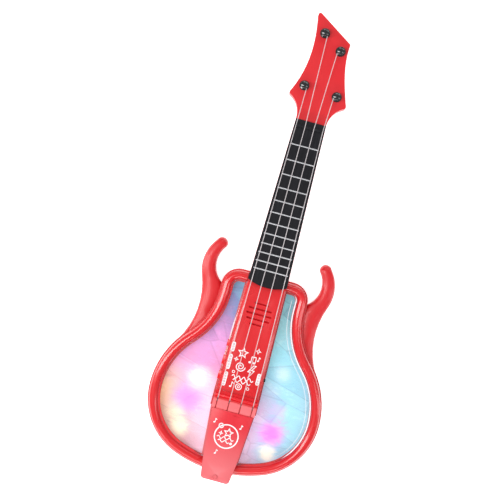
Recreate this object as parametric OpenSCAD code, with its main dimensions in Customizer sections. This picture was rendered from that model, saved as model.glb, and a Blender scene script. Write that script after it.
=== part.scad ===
// Toy guitar with four strings, lights behind a clear front, and sound buttons.
// Millimetres. The back lies on z = 0, +Y runs up the neck, x = 0 is the middle of the neck,
// and y = 0 is level with the widest part of the body.

/* [Body outline] */
// Half width of the body at its widest
body_half_w = 93.5; // [92.5:0.5:94]
// Y of the body's flat top edge
body_top_y = 140.2; // [139:0.2:142]
// Half width of the body at its shoulders
shoulder_half_w = 47.4; // [46:0.2:48]
// Radius of the shoulder corners
shoulder_r = 19; // [18:0.5:20]
// Radius of the hollow at each side of the waist
waist_r = 72; // [70:1:75]
// Y where the waist starts to widen
waist_y = 112; // [110:1:114]
// Radius of the sides above the widest part
side_r = 91.5; // [90:0.5:93]
// Radius of the sides below the widest part
low_r = 70; // [68:0.5:71]
// Radius of the bottom edge
bottom_r = 138.5; // [135:0.5:142]
// Y of the widest part's centre
side_y = -2; // [-3:0.5:-1]

/* [Body depth] */
// Height of the joint between back shell and front rim
seam_z = 17; // [16:0.5:18]
// Wall thickness of the mouldings
wall_t = 2.2; // [1.8:0.1:2.4]
// Radius of the bead round the front
bead_r = 5; // [4.8:0.1:5.2]
// Width of the step outside the bead
step_w = 1.5; // [1:0.1:1.6]
// Height of the bead's centre
bead_z = 31; // [30.5:0.5:31.5]
// Radius of the back's rounded edge
edge_r = 6; // [5.5:0.5:6]
// Height of the reflector panels' underside
panel_z = 19; // [18.8:0.2:19.4]
// Thickness of the reflector panels
panel_t = 1.4; // [1:0.1:1.5]
// Height of the ledge that the windows sit on
ledge_z = 29.6; // [29:0.2:30]
// Thickness of a window's flange
flange_t = 1.2; // [1:0.1:1.4]
// Height of a window's raised middle
window_z = 33; // [32.4:0.2:33.6]

/* [Horns] */
// Radius of the outer edge of a horn
horn_r = 41.5; // [41:0.1:42]
// Radius of the inner hook of a horn
hook_r = 26.2; // [26:0.1:27]
// Half height of a horn's section
horn_half_h = 9.5; // [8:0.5:10]

/* [Middle bar] */
// Height of the bar's top face
bar_z = 44; // [43:0.5:45]
// Half width of the bar at its upper end
bar_top_w = 20.9; // [20.5:0.1:21.2]
// Half width of the bar at its lower end
bar_low_w = 23.1; // [22.8:0.1:23.4]
// Y of the bar's upper end
bar_top_y = 129.6; // [129.4:0.1:129.7]
// Y of the bar's lower end
bar_low_y = -7.5; // [-8:0.1:-7.4]
// Width of the bevel along the bar's top edges
bar_bevel = 3.4; // [2.5:0.1:3.6]
// Radius of the speaker grille
grille_r = 13.5; // [12.5:0.5:14]
// Y of the grille's centre
grille_y = 99.1; // [98.6:0.1:99.6]
// Distance between two grille slots
slot_pitch = 5.6; // [5.4:0.1:5.8]
// Width of a grille slot
slot_w = 1.7; // [1.4:0.1:1.9]

/* [Neck] */
// Half width of the neck where it meets the headstock
neck_head_w = 16.4; // [16.2:0.1:16.6]
// Half width of the neck where it meets the body
neck_body_w = 21.1; // [20.9:0.1:21.2]
// Y where neck and headstock meet
head_y = 307.9; // [307.5:0.1:308.3]
// Radius of the neck's rounded back
neck_r = 24; // [23.6:0.1:24.4]
// Height of the neck's underside
neck_z = 26; // [25.8:0.1:26.2]
// Thickness of the fretboard
fretboard_t = 2.5; // [2.2:0.1:2.8]
// Y of the nut's middle
nut_y = 301.4; // [301:0.1:301.8]
// Height of the nut above the fretboard
nut_h = 1.5; // [1.3:0.1:1.7]
// Number of frets
frets_n = 12; // [8:12]
// Gap between the nut line and the first fret
fret_gap = 18.3; // [18:0.1:18.6]
// Each fret gap as a share of the gap before it
fret_ratio = 0.9325; // [0.93:0.0005:0.934]
// Height of a fret above the fretboard
fret_h = 0.6; // [0.5:0.1:0.7]

/* [Strings and pegs] */
// Radius of a string
string_r = 0.45; // [0.35:0.05:0.5]
// Distance between strings at the nut
nut_pitch = 9.65; // [9.4:0.05:9.8]
// Distance between strings at the bridge
bridge_pitch = 12.7; // [12.4:0.1:12.9]
// Height of the headstock's face
head_z = 38.5; // [38:0.1:39]
// Radius of a tuning peg's shaft
shaft_r = 2.5; // [2.3:0.1:2.6]
// Gap round a shaft that turns
run_gap = 0.06; // [0.03:0.01:0.09]
// Radius of a peg's top disc
disc_r = 4; // [3.8:0.1:4.2]
// Radius of a peg's collar on the headstock
collar_r = 5.3; // [5:0.1:5.5]

/* [Controls] */
// How far a button travels
press = 1.2; // [0.8:0.1:1.4]
// How far a button stands out of the bar
button_out = 2.6; // [2:0.1:3]
// Gap round a button in its hole
button_gap = 0.3; // [0.2:0.05:0.35]
// How far the power switch moves each way from its middle place
switch_throw = 2; // [1.5:0.1:2]

/* [Batteries] */
// Radius of an AA cell
cell_r = 7.25; // [7:0.05:7.25]
// Length of an AA cell without its tip
cell_l = 49.3; // [49:0.1:49.5]
// Distance between two cells
cell_pitch = 15.6; // [15.5:0.1:15.7]
// Y of the battery bay's middle
bay_y = 39; // [38.5:0.5:39.5]

/* [Hidden] */
$fn = 48;
slip = 0.02;            // gap between faces that touch within one body
side_c = [body_half_w - side_r, side_y];
low_c = [body_half_w - low_r, side_y];
bottom_c = [0, side_y + sqrt(pow(bottom_r - low_r, 2) - pow(low_c.x, 2))];
body_end_y = bottom_c.y - bottom_r;
low_a = atan2(low_c.y - bottom_c.y, low_c.x);
rim_w = step_w + 2 * bead_r;
shoulder_c = [shoulder_half_w - shoulder_r, body_top_y - shoulder_r];
waist_c = [shoulder_half_w + waist_r, waist_y];
flank_v = waist_c - side_c;
flank_a = atan2(flank_v.y, flank_v.x) - acos((side_r + waist_r) / norm(flank_v));

function dir(a) = [cos(a), sin(a)];
function unit(v) = v / norm(v);
// Points on an arc in n steps, leaving out some at its start and end
function arc(c, r, a0, a1, n, first = 0, last = 0) =
  [for (i = [first:n - last]) c + r * dir(a0 + (a1 - a0) * i / n)];
function flip(pts) = [for (i = [len(pts) - 1:-1:0]) [-pts[i].x, pts[i].y]];
function lerp(a, b, t) = a + (b - a) * t;
function bezier(a, b, c, d, n) = [for (i = [1:n]) let (t = i / n, s = 1 - t)
  s * s * s * a + 3 * s * s * t * b + 3 * s * t * t * c + t * t * t * d];

// Right side of the body's outline, from the top edge round to the bottom. Every arc keeps its
// centre as the outline moves out by "off", so each outline is a true parallel of the first.
function right_side(off) = concat(
  arc(shoulder_c, shoulder_r + off, 90, 0, 8),
  arc(waist_c, waist_r - off, 180, 180 + flank_a, 10),
  arc(side_c, side_r + off, flank_a, 0, 10),
  arc(low_c, low_r + off, 0, low_a, 14, 1));
function body_outline(off) = concat(
  right_side(off),
  arc(bottom_c, bottom_r + off, low_a, -180 - low_a, 12, 1, 1),
  flip(right_side(off)));

bar_slope = (bar_low_w - bar_top_w) / (bar_top_y - 12);
function bar_w(y) = bar_top_w + (bar_top_y - max(y, 12)) * bar_slope;
function neck_w(y) = lerp(neck_body_w, neck_head_w, (y - bar_top_y) / (head_y - bar_top_y));

// Edge of the middle bar and tailpiece, from the top down, moved out by "off"
tail_top_w = 22.1;
tail_mid = [18.1, -60.4];
tail_end_y = -83.2;
tail_end_w = 15.6;
tail_corner_r = 3.6;
tail_flank_y = -62.3;   // the tailpiece's flanks stop here, inside the rim
tail_wall_y = body_end_y - 0.6;
tail_top_z = 46.2;
tail_end_z = 41.4;
function bar_edge(off) = [
  [bar_w(bar_top_y) + off, bar_top_y], [bar_low_w + off, 12], [bar_low_w + off, bar_low_y]];
function tail_edge(off) = [
  [tail_top_w + off, bar_low_y - 0.1], [tail_mid.x + off, tail_mid.y],
  [tail_end_w + off, tail_end_y + tail_corner_r]];
function tail_outline(off) = let (
    edge = tail_edge(off),
    corner = arc([tail_end_w + off - tail_corner_r, tail_end_y - off + tail_corner_r],
      tail_corner_r, 0, -90, 6, 1))
  concat(edge, corner, flip(concat(edge, corner)));

// Horns: the outer edge is an arc that runs into a hollow foot arc, the inner edge is a hook
horn_c = [31.7, 137.8];
hook_c = [32.1, 141.8];
foot_c = [148, 93];
foot_v = foot_c - horn_c;
foot_a = atan2(foot_v.y, foot_v.x);
foot_r = norm(foot_v) - horn_r;
horn_steps = 9;
foot_steps = 8;
tip_steps = 4;
section_n = 14;
horn_outer = concat(
  arc(horn_c, horn_r, 39, foot_a, horn_steps),
  arc(foot_c, foot_r, 180 + foot_a, 211, foot_steps, 1));
horn_inner = concat(
  arc(hook_c, hook_r, 41, -57, horn_steps),
  arc(waist_c, waist_r + 4, 176, 180 + flank_a, foot_steps, 1));

// Makes an oval section boxier: v runs from -1 to 1
function boxy(v) = sign(v) * pow(abs(v), 0.6);
function horn_ring(mid, half, h) = [for (k = [0:section_n - 1]) let (
    a = 360 * k / section_n,
    across = boxy(cos(a)))
  [mid.x + half.x * across, mid.y + half.y * across, seam_z + h * boxy(sin(a))]];
// Rings of a horn's skin, thinned by "t" all round, from the round tip down to the foot
function horn_rings(t) = let (
    across = (horn_outer[0] - horn_inner[0]) / 2,
    tip_r = norm(across) - t,
    ahead = [-across.y, across.x] / norm(across),
    tip_mid = (horn_outer[0] + horn_inner[0]) / 2)
  concat(
    [for (j = [0:tip_steps - 1]) let (a = 80 * (1 - j / tip_steps))
      horn_ring(tip_mid + ahead * tip_r * sin(a), across / norm(across) * tip_r * cos(a),
        (horn_half_h - t) * cos(a))],
    [for (i = [0:len(horn_outer) - 1]) let (half = (horn_outer[i] - horn_inner[i]) / 2)
      horn_ring((horn_outer[i] + horn_inner[i]) / 2, half * (1 - t / norm(half)), horn_half_h - t)]);

// Solid skin over rings of n points, each ring turning right-handed about the way ahead; its two
// ends are flat
module skin(rings, n) {
  count = len(rings);
  sides = [for (i = [0:count - 2], k = [0:n - 1]) let (
      a = i * n + k, b = i * n + (k + 1) % n)
    each [[a, b + n, b], [a, a + n, b + n]]];
  polyhedron(
    points = [for (r = rings) each r],
    faces = concat(sides, [[for (k = [0:n - 1]) k]], [[for (k = [n - 1:-1:0]) (count - 1) * n + k]]),
    convexity = 6);
}

// A hollow horn, open where it meets the side of the body
module horn_shape() {
  difference() {
    skin(horn_rings(0), section_n);
    skin(horn_rings(wall_t), section_n);
    translate([0, 0, -1]) linear_extrude(60) polygon(body_outline(0.05));
  }
}
module horn_right() color("#e63036") horn_shape();
module horn_left() color("#e63036") mirror([1, 0, 0]) horn_shape();

// Solid ring with the given profile all round the body; a profile point is [outwards, up]
module ring_skin(profile) {
  n = len(body_outline(0));
  m = len(profile);
  polyhedron(
    points = [for (q = profile, p = body_outline(q.x)) [p.x, p.y, q.y]],
    faces = [for (k = [0:m - 1], i = [0:n - 1]) let (
        a = k * n + i, b = k * n + (i + 1) % n,
        c = ((k + 1) % m) * n + (i + 1) % n, d = ((k + 1) % m) * n + i)
      each [[a, b, c], [a, c, d]]],
    convexity = 8);
}

// Places on the right half of a parallel outline where the case screws go
function case_points(off) = [
  shoulder_c + (shoulder_r + off) * dir(40),
  waist_c + (waist_r - off) * dir(200),
  side_c + (side_r + off) * dir(20),
  low_c + (low_r + off) * dir(-35),
  bottom_c + (bottom_r + off) * dir(-78)];
screw_off = -8.6;
module at_case_screws() {
  for (side = [0, 1]) mirror([side, 0, 0])
    for (p = case_points(screw_off)) translate(p) children();
}

// Screws: every case screw goes in from the back, its head in a recess
head_r = 2.7;
recess_r = 3.1;
shank_r = 1.1;
pilot_r = shank_r + slip;
free_r = 1.35;
post_low_z = 0.8;       // posts start inside the rounded back edge
seat_z = 3;             // where a case screw's head sits
neck_seat_z = 8;
module screw(from, to) {
  translate([0, 0, from - 1.8]) cylinder(r = head_r, h = 1.8);
  translate([0, 0, from]) cylinder(r = shank_r, h = to - from);
}
module post(top) {
  translate([0, 0, post_low_z]) cylinder(r = recess_r + 1.3, h = 6);
  translate([0, 0, post_low_z]) cylinder(r = free_r + 1.4, h = top - post_low_z);
}
module deep_post(top) cylinder(r = recess_r + 1.2, h = top);
module post_hole(seat, top) {
  translate([0, 0, -1]) cylinder(r = recess_r, h = seat + 1);
  cylinder(r = free_r, h = top + 1);
}

// Middle bar
flank_z = 22;           // foot of the bar's flanks
bar_plate = 2;
ledge_w = 2;
bar_screw_points = [[-14.5, 77], [14.5, 77], [-12, 3], [12, 3]];
neck_screw_points = [[-9, 124.4], [9, 124.4]];
post_top = 21.8;        // the back shell's posts end just under the bar's bosses
neck_post_top = neck_z - 0.1;
ledge_top_y = body_top_y - rim_w - ledge_w - 0.1;

// Battery bay, open at the back
bay_half = [23.8, 29];
bay_wall = 1.5;
bay_roof_z = 17.3;
door_gap = 0.3;
door_z = 0.3;
cell_z = 9.9;
door_screw_y = bay_y + bay_half.y + 4.4;

// Places that hold the reflector panels and the light boards
panel_post_points = [
  waist_c + (waist_r + 15) * dir(188), side_c + (side_r - 15) * dir(30),
  side_c + (side_r - 15) * dir(4), low_c + (low_r - 15) * dir(-76)];
board_z = 9;
board_t = 1.6;
light_board_half = [8, 44];
light_board_mid = [49, -6];
light_points = [[-46, 25], [-50, -7], [-50, -34], [48, 30], [46, -16], [45, -41]];

// Walls and rounded edge of the back shell, anticlockwise
shell_strip = 5;
shell_profile = concat(
  [[-edge_r - shell_strip, 0]],
  arc([-edge_r, edge_r], edge_r, -90, 0, 6),
  [[0, seam_z], [-wall_t, seam_z]],
  arc([-edge_r, edge_r], edge_r - wall_t, 0, -90, 4),
  [[-edge_r - shell_strip, wall_t]]);

module bay_box(half, z0, z1) {
  translate([-half.x, bay_y - half.y, z0]) cube([2 * half.x, 2 * half.y, z1 - z0]);
}

module back_shell() {
  color("#c62a30") difference() {
    union() {
      ring_skin(shell_profile);
      linear_extrude(wall_t) polygon(body_outline(-edge_r - 2));
      at_case_screws() post(seam_z);
      for (p = neck_screw_points) translate(p) deep_post(neck_post_top);
      for (p = bar_screw_points) translate(p) post(post_top);
      bay_box(bay_half + [bay_wall, bay_wall], 1, bay_roof_z + 1.2);
      translate([-8, bay_y + bay_half.y - 0.5, wall_t - 0.4]) cube([16, 12, 2]);
      translate([0, door_screw_y, 2]) cylinder(r = 3.4, h = 8);
      for (side = [-1, 1], p = panel_post_points)
        translate([side * p.x, p.y, 1]) cylinder(r = 2.4, h = panel_z - 1 - slip);
      for (side = [-1, 1], end = [-1, 1])
        translate([side * light_board_mid.x, light_board_mid.y + end * (light_board_half.y - 4), 1])
          cylinder(r = 2.4, h = board_z - 1 - slip);
    }
    at_case_screws() post_hole(seat_z, seam_z);
    for (p = neck_screw_points) translate(p) post_hole(neck_seat_z, neck_post_top);
    for (p = bar_screw_points) translate(p) post_hole(seat_z, post_top);
    bay_box(bay_half, -1, bay_roof_z);
    bay_box(bay_half + [door_gap, door_gap] * 0.5, -1, wall_t);
    translate([-6, bay_y + bay_half.y - 1, -1]) cube([12, 10.4, wall_t + 1]);
    translate([0, door_screw_y, -1]) cylinder(r = pilot_r, h = 9);
    for (x = [-8, 8]) translate([x, bay_y + bay_half.y - 1, 13]) rotate([-90, 0, 0])
      cylinder(r = 1, h = 4);
  }
  color("#c62a30") for (x = [-0.5, 0.5] * cell_pitch)
    translate([x - 0.35, bay_y - bay_half.y + 1, cell_z + 1])
      cube([0.7, 2 * bay_half.y - 2, bay_roof_z - cell_z - 0.9]);
}

// Bead, walls and window ledge of the front rim, anticlockwise
rim_wall = 2;
step_drop = 2.9;
step_z = bead_z - step_drop;
rim_profile = concat(
  [[-wall_t, seam_z], [0, seam_z], [0, step_z - 0.5], [-0.5, step_z]],
  arc([bead_r - rim_w, bead_z], bead_r, -asin(step_drop / bead_r), 180, 11),
  [[-rim_w, ledge_z], [-rim_w - ledge_w, ledge_z], [-rim_w - ledge_w, ledge_z - 1.2],
   [-rim_w, ledge_z - 1.2], [-rim_w, seam_z + 0.5], [rim_wall - rim_w, seam_z + 0.5],
   [rim_wall - rim_w, bead_z + 2], [-step_w - 2.8, bead_z + 2], [-step_w - 2.1, bead_z - 1],
   [-wall_t, step_z - 1.8]]);

tail_screw_y = -78.4;
tab_z = 27;
tab_top_z = 32;
tab_w = 7;
tail_notch_w = tail_mid.x + ledge_w + 0.2;
module front_rim() {
  color("#ee2f35") difference() {
    union() {
      ring_skin(rim_profile);
      at_case_screws() translate([0, 0, seam_z]) cylinder(r = 2.4, h = 10);
      translate([-tab_w, -81, tab_z]) cube([2 * tab_w, 8, tab_top_z - tab_z]);
    }
    at_case_screws() translate([0, 0, seam_z - 1]) cylinder(r = pilot_r, h = 10);
    translate([0, tail_screw_y, tab_z - 1]) cylinder(r = pilot_r, h = 10);
    translate([-neck_body_w - 0.4, bar_top_y - 12, neck_z - 0.1])
      cube([2 * neck_body_w + 0.8, 30, 30]);
    translate([-neck_body_w - 0.4, bar_top_y - 12, flank_z - 0.1])
      cube([2 * neck_body_w + 0.8, 12.1, 10]);
    translate([-tail_notch_w, tail_flank_y - 0.7, ledge_z - 1.3]) cube([2 * tail_notch_w, 2.6, 1.4]);
  }
}

// Right-hand space beside the bar, as far in as "off" beyond the bar's and tailpiece's flanks
module beside_bar(off) {
  polygon(concat(bar_edge(off), tail_edge(off), [[tail_end_w, -120], [120, -120], [120, 150]],
    [[bar_w(bar_top_y) + off, 150]]));
}
module window_shape() {
  linear_extrude(flange_t) intersection() {
    polygon(body_outline(-rim_w - 0.1));
    beside_bar(0.1);
  }
  linear_extrude(window_z - ledge_z) intersection() {
    polygon(body_outline(-rim_w - 0.6));
    beside_bar(0.6);
  }
}
module window_right() {
  color("#d8f0ff", 0.4) translate([0, 0, ledge_z + slip]) window_shape();
}
module window_left() mirror([1, 0, 0]) window_right();

module reflector_shape() {
  linear_extrude(panel_t) intersection() {
    polygon(body_outline(-rim_w - 0.3));
    beside_bar(-2.4);
    translate([0, -63.2]) square([100, 192]);
  }
}
module reflector_right() {
  color("#a8dce8") translate([0, 0, panel_z]) reflector_shape();
}
module reflector_left() mirror([1, 0, 0]) color("#e0a8e0") translate([0, 0, panel_z]) reflector_shape();

// Controls: buttons and power switch, by their middle y and length along the bar
button_z = 37.4;
button_h = 4.4;
button_places = [[61.5, 6.4], [42.9, 9.4], [26.5, 8.2]];
lip_t = 1;
lip_over = 1.2;
switch_y = 32.6;
knob_size = [3.4, 2.6];
slot_half = knob_size / 2 + [switch_throw + 0.4, 0.3];

module full_outline(edge) polygon(concat(edge, flip(edge)));
// A profile drawn with X outwards and Y up, carried along a straight
module straight(start, length, a)
  translate(start) rotate([90, 0, a]) linear_extrude(length) children();
// The bevel along the bar's long edges
module bar_bevels() {
  drop = 0.72 * bar_bevel;
  length = bar_top_y - 12;
  lean = atan2(bar_low_w - bar_top_w, length);
  for (side = [0, 1]) mirror([side, 0, 0]) {
    straight([bar_w(bar_top_y + 2), bar_top_y + 2], length + 2.1, lean)
      polygon([[-bar_bevel, bar_z + 0.01], [1, bar_z + 0.01], [1, bar_z - drop], [0, bar_z - drop]]);
    straight([bar_low_w, 12.1], 12.1 - bar_low_y + 1, 0)
      polygon([[-bar_bevel, bar_z + 0.01], [1, bar_z + 0.01], [1, bar_z - drop], [0, bar_z - drop]]);
  }
}
module grille_slots() {
  for (i = [-2:2]) let (half = sqrt(pow(grille_r, 2) - pow(i * slot_pitch, 2)))
    translate([0, grille_y + i * slot_pitch, bar_z - bar_plate / 2])
      rotate([32, 0, 0]) cube([2 * half, slot_w, 4 * bar_plate], center = true);
}
board_screw_points = [[-13.6, 17.5], [13.6, 17.5], [-13.6, 70], [13.6, 70]];
circuit_z = 34;
module middle_bar() {
  color("#ee2f35") difference() {
    union() {
      difference() {
        translate([0, 0, flank_z]) linear_extrude(bar_z - flank_z) full_outline(bar_edge(0));
        translate([0, 0, flank_z - 1]) linear_extrude(bar_z - bar_plate - flank_z + 1)
          polygon([[-18.9, bar_top_y + 1], [18.9, bar_top_y + 1], [bar_low_w - 2, 12],
            [bar_low_w - 2, bar_low_y - 1], [2 - bar_low_w, bar_low_y - 1], [2 - bar_low_w, 12]]);
      }
      translate([0, 0, ledge_z - 1.2]) linear_extrude(1.2) difference() {
        intersection() {
          full_outline(bar_edge(ledge_w));
          translate([-40, bar_low_y]) square([80, ledge_top_y - bar_low_y]);
        }
        full_outline(bar_edge(-0.5));
      }
      for (p = bar_screw_points) translate([p.x, p.y, post_top + 0.1])
        cylinder(r = 3, h = bar_z - post_top - 1);
      for (p = board_screw_points) translate([p.x, p.y, circuit_z + board_t])
        cylinder(r = 2.2, h = bar_z - circuit_z - board_t - 1);
    }
    bar_bevels();
    grille_slots();
    for (p = bar_screw_points) translate([p.x, p.y, post_top]) cylinder(r = pilot_r, h = 12);
    for (p = board_screw_points) translate([p.x, p.y, circuit_z]) cylinder(r = 0.82, h = 7);
    for (b = button_places) translate([-30, b[0], button_z])
      cube([30, b[1] + 2 * button_gap, button_h + 2 * button_gap], center = true);
    translate([16, switch_y - slot_half.x, button_z - slot_half.y])
      cube([12, 2 * slot_half.x, 2 * slot_half.y]);
  }
}

// Bridge: a ridge that the strings cross, then a comb of blocks that holds their ends
bridge_w = 23.3;
bridge_top_y = 11.7;
ridge_y = 7.2;
ridge_z = 49.2;
comb_y = 3.2;
string_slot_w = 1.3;
bead_r_string = 1.25;
anchor_y = 1.4;
anchor_z = bar_z + 1.7;
function string_x(i, pitch) = (i - 1.5) * pitch;
module bridge() {
  color("#ee2f35") difference() {
    translate([-bridge_w, 0, 0]) rotate([90, 0, 90]) linear_extrude(2 * bridge_w)
      polygon(concat(
        [[bridge_top_y, bar_z], [bridge_top_y, bar_z + 1.8], [ridge_y + 2, bar_z + 2.2]],
        arc([ridge_y, ridge_z - 1.6], 1.6, 20, 160, 8),
        [[ridge_y - 2, bar_z + 2.2], [comb_y + 0.3, bar_z + 2.2], [comb_y, ridge_z - 0.6]],
        [[comb_y - 1, ridge_z - 0.2], [bar_low_y + 1.4, bar_z + 3.8], [bar_low_y + 0.1, bar_z + 1.8]],
        [[bar_low_y + 0.1, bar_z]]));
    for (i = [0:3]) translate([string_x(i, bridge_pitch), 0, 0]) {
      translate([-string_slot_w / 2, bar_low_y - 1, bar_z + 0.3])
        cube([string_slot_w, comb_y - bar_low_y + 2, 8]);
      translate([0, anchor_y, bar_z + 0.3]) cylinder(r = bead_r_string + 0.3, h = 2.8);
    }
  }
}

// Tailpiece: a sloped cover on the lower end of the bar that reaches over the body's edge
module tail_side(t) {
  translate([-30, 0, 0]) rotate([90, 0, 90]) linear_extrude(60) polygon([
    [bar_low_y - 0.1 + (t > 0 ? 1 : 0), flank_z - t], [tail_flank_y + t, flank_z - t],
    [tail_flank_y + t, 36.4 - t], [tail_wall_y - t, 36.4 - t], [tail_wall_y - t, 23 - t],
    [tail_end_y + t, 23 - t], [tail_end_y + t, tail_end_z - t],
    [bar_low_y - 0.1 + (t > 0 ? 1 : 0), tail_top_z - t]]);
}
function tail_flank(off) = [
  tail_edge(off)[0], tail_edge(off)[1], [tail_mid.x + off, tail_flank_y]];
module tailpiece() {
  color("#f0484d") difference() {
    union() {
      difference() {
        intersection() {
          tail_side(0);
          translate([0, 0, 20]) linear_extrude(30) polygon(tail_outline(0));
        }
        difference() {
          intersection() {
            tail_side(1.8);
            translate([0, 0, 10]) linear_extrude(40) polygon(tail_outline(-1.8));
          }
          translate([-30, tail_wall_y - 1.8, 20]) cube([60, 3, 18.2]);
        }
      }
      translate([0, 0, ledge_z - 1.2]) linear_extrude(1.2) difference() {
        full_outline(tail_flank(ledge_w));
        full_outline(tail_flank(-1));
      }
      translate([0, tail_screw_y, tab_top_z + slip]) cylinder(r = 3.2, h = 8);
    }
    translate([-tab_w - 0.4, tail_wall_y - 2, 20]) cube([2 * tab_w + 0.8, 3, tab_top_z + 0.1 - 20]);
    translate([0, tail_screw_y, tab_top_z - 1]) cylinder(r = free_r, h = 14);
    translate([0, tail_screw_y, tail_end_z - 1.2]) cylinder(r = recess_r - 0.6, h = 5);
    translate([2, bar_low_y - 3.6, tail_top_z - 0.9]) cube([7, 1.1, 3]);
  }
}

// Neck: a hollow moulding with a rounded back, under a flat fretboard
neck_bottom_y = bar_top_y + 0.2;
tongue_w = 13;
module neck_solid(t) {
  intersection() {
    translate([0, head_y - t, neck_z + neck_r]) rotate([90, 0, 0])
      cylinder(r = neck_r - t, h = head_y - neck_bottom_y - 2 * t);
    translate([0, 0, neck_z - 1]) linear_extrude(bar_z - neck_z + 1) full_outline([
      [neck_w(neck_bottom_y) - t, neck_bottom_y], [neck_head_w - t, head_y]]);
  }
}
module neck_back() {
  color("#e02c33") difference() {
    union() {
      difference() {
        neck_solid(0);
        neck_solid(wall_t);
      }
      translate([-tongue_w, bar_top_y - 10.6, neck_z]) cube([2 * tongue_w, 14, 12]);
      translate([-10, head_y - 3, neck_z + 3.5]) cube([20, 17, 5]);
    }
    for (p = neck_screw_points) translate([p.x, p.y, neck_z - 1]) cylinder(r = pilot_r, h = 11);
    for (p = head_screw_points) translate([p.x, p.y, neck_z]) cylinder(r = pilot_r, h = 8);
  }
}

board_z0 = bar_z + slip;
board_top_z = board_z0 + fretboard_t;
board_low_y = 132.5;
board_sag = 4.8;
function board_arc() = let (
    w = neck_w(board_low_y) - 0.05,
    r = (w * w + board_sag * board_sag) / (2 * board_sag),
    a = asin(w / r))
  arc([0, board_low_y - board_sag + r], r, -90 - a, -90 + a, 16);
module fretboard() {
  color("#2a292e") translate([0, 0, board_z0]) linear_extrude(fretboard_t)
    polygon(concat(board_arc(), [[neck_head_w, head_y], [-neck_head_w, head_y]]));
}
module nut() {
  color("#26262a") difference() {
    translate([-neck_head_w + 0.3, nut_y - 1.6, board_top_z])
      cube([2 * neck_head_w - 0.6, 3.2, nut_h]);
    for (i = [0:3])
      translate([string_x(i, nut_pitch) - string_r - 0.1, nut_y - 3, string_nut_z - string_r - slip])
        cube([2 * string_r + 0.2, 6, 3]);
  }
}
function fret_y(k) = nut_y - 2.1 - fret_gap * (1 - pow(fret_ratio, k)) / (1 - fret_ratio);
fret_r = 0.7;
module frets() {
  color("#c9c9cd") for (k = [1:frets_n]) let (w = neck_w(fret_y(k)) - 2.2)
    intersection() {
      translate([-w, fret_y(k), board_top_z + fret_h - fret_r]) rotate([0, 90, 0])
        cylinder(r = fret_r, h = 2 * w);
      translate([-w, fret_y(k) - 2, board_top_z]) cube([2 * w, 4, 2]);
    }
}

// Headstock: two half shells on one outline, its corners joined by smooth curves
crown = [-23, 426.2];
shoulder = [19.3, 398.8];
wing_left = [-30.9, 333.6];
wing_right = [32.3, 332.3];
head_seam_z = 31.5;
function head_outline() = concat(
  [[neck_head_w, head_y], [-neck_head_w, head_y]],
  bezier([-neck_head_w, head_y], [-15.5, 318], [-19, 328], wing_left, 8),
  bezier(wing_left, [-20, 355], [-13.5, 385], crown, 12),
  [shoulder],
  bezier(shoulder, [17.5, 378], [22.5, 360], wing_right, 10),
  [for (p = bezier(wing_right, [23, 328], [17.5, 322], [neck_head_w, head_y], 8))
    if (p.y > head_y + 0.5) p]);
module head_shape(t) {
  if (t == 0) offset(2.4) offset(-2.4) polygon(head_outline());
  else offset(-t) polygon(head_outline());
}
head_screw_points = [[0, 313.5], [0, 319]];
peg_points = [[-16.7, 344.5], [-9.9, 403.3], [10.9, 388.8], [19.4, 341.3]];
peg_sides = [1, 1, -1, -1];
module at_pegs() for (p = peg_points) translate(p) children();
module headstock_front() {
  color("#ea3238") difference() {
    union() {
      difference() {
        translate([0, 0, head_seam_z]) linear_extrude(head_z - head_seam_z) head_shape(0);
        translate([0, 0, head_seam_z - 1]) linear_extrude(head_z - head_seam_z - 1) head_shape(wall_t);
      }
      at_pegs() translate([0, 0, head_seam_z]) cylinder(r = 5, h = head_z - head_seam_z - 1);
    }
    at_pegs() translate([0, 0, head_seam_z - 1]) cylinder(r = shaft_r + run_gap, h = 12);
    translate([-10.2, head_y - 1, neck_z]) cube([20.4, 16, 8.7]);
  }
}
module headstock_back() {
  color("#c62a30") difference() {
    union() {
      difference() {
        translate([0, 0, neck_z]) linear_extrude(head_seam_z - neck_z) head_shape(0);
        translate([0, 0, neck_z + 2]) linear_extrude(10) head_shape(wall_t);
      }
      at_pegs() translate([0, 0, neck_z + 1]) cylinder(r = 5, h = head_seam_z - neck_z - 1);
    }
    at_pegs() translate([0, 0, neck_z - 1]) cylinder(r = shaft_r + run_gap, h = 12);
    translate([-10.2, head_y - 1, neck_z + 3.3]) cube([20.4, 16, 8]);
    for (p = head_screw_points) translate([p.x, p.y, neck_z - 1]) {
      cylinder(r = recess_r, h = 2.2);
      cylinder(r = free_r, h = 6);
    }
  }
}

// Tuning pegs: collar on the headstock, post with a top disc, knob behind
collar_t = 1.5;
spool_z = head_z + collar_t + 0.3;
coil_z = 43;
disc_z = 45;
module collars() {
  color("#1b1b1e") at_pegs() translate([0, 0, head_z]) difference() {
    cylinder(r = collar_r, h = collar_t);
    translate([0, 0, -1]) cylinder(r = shaft_r + run_gap, h = 4);
  }
}
module peg_post(i) {
  color("#202226") translate(peg_points[i]) {
    translate([0, 0, neck_z - 9]) cylinder(r = shaft_r, h = disc_z - neck_z + 9);
    translate([0, 0, spool_z]) cylinder(r = collar_r - 0.6, h = 1);
    translate([0, 0, disc_z]) cylinder(r = disc_r, h = 0.8);
    translate([0, 0, disc_z + 0.8]) cylinder(r1 = disc_r, r2 = disc_r - 0.2, h = 0.2);
    translate([0, 0, disc_z + 1]) cylinder(r1 = disc_r - 0.2, r2 = disc_r - 2.1, h = 0.75);
  }
}
knob_top_z = neck_z - 0.3;
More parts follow.
